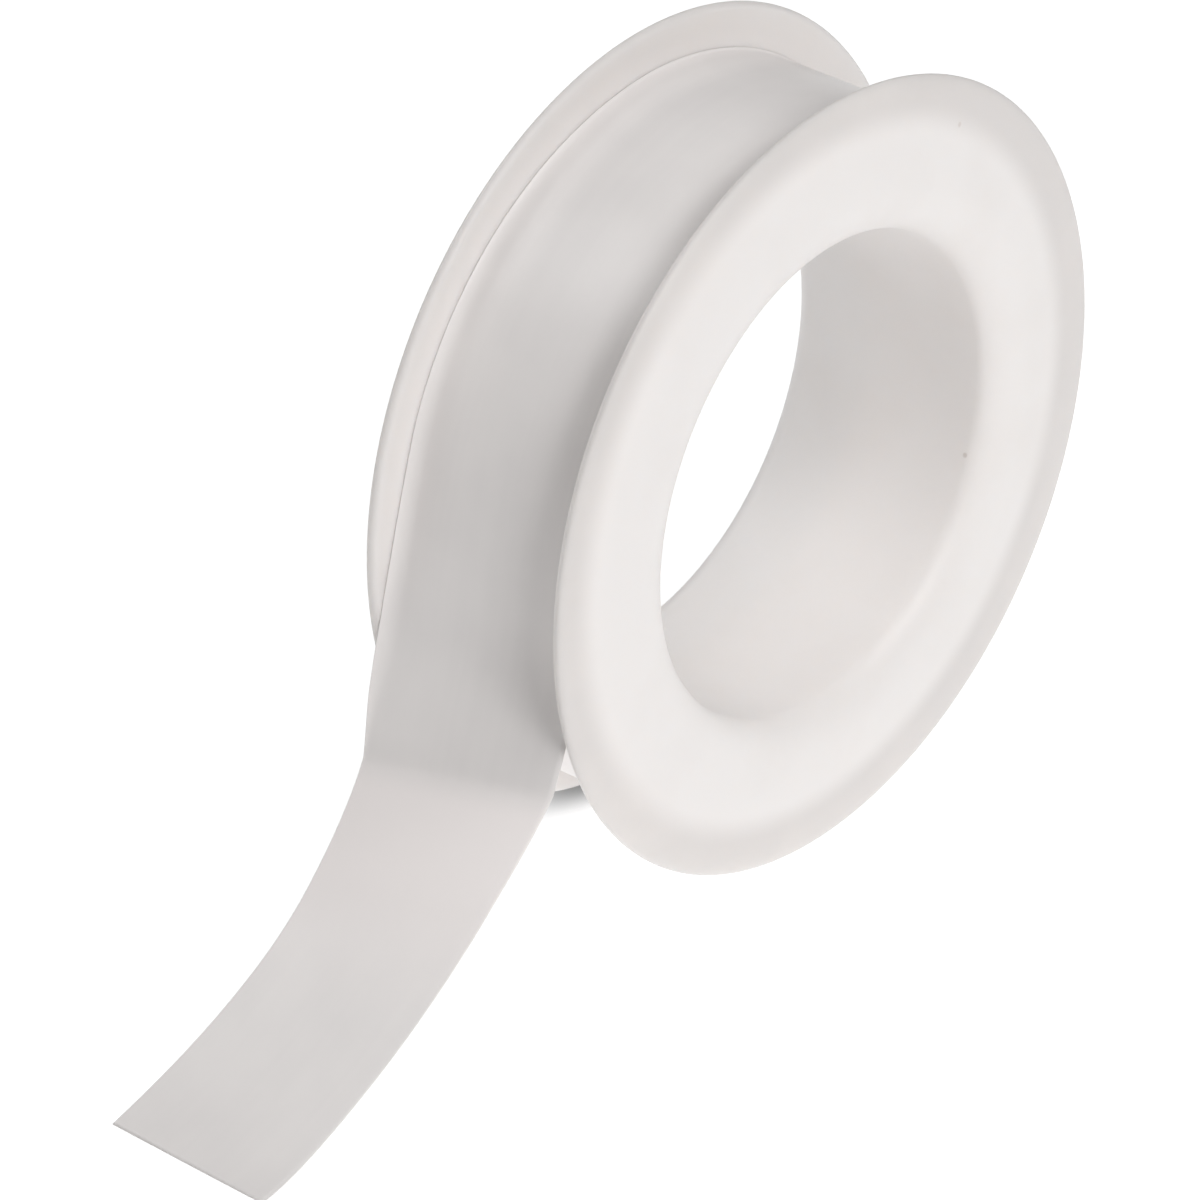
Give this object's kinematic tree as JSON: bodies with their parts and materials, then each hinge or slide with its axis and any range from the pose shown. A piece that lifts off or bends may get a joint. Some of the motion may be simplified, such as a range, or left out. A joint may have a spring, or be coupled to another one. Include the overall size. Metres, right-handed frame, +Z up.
{
  "type": "thread seal tape roll",
  "caption": "Roll of white thread seal tape on a two-piece moulded spool with an open bore; the loose end of the tape runs forward to the table.",
  "frame": {"origin": "on the roll's axis, at the middle of the bore", "axes": "+Y along the roll's axis from the front flange to the rear flange, +Z up, and the loose end runs forward to -X"},
  "size_m": [0.0704, 0.015, 0.046],
  "materials": {
    "spool_plastic": "moulded polypropylene, natural white, slightly waxy and translucent",
    "tape_film": "skived and stretched film, white, with a soft semi-gloss"
  },
  "bodies": {
    "spool": {"spool_body": "spool_plastic", "rear_flange": "spool_plastic", "tape_pack": "tape_film"},
    "tape_end": {"tape_strip": "tape_film"}
  },
  "joints": [
    {"name": "tape_unwind", "type": "hinge", "parent": "spool", "child": "tape_end", "pos_m": [0, 0, 0], "axis": [0, 1, 0], "continuous": true}
  ]
}
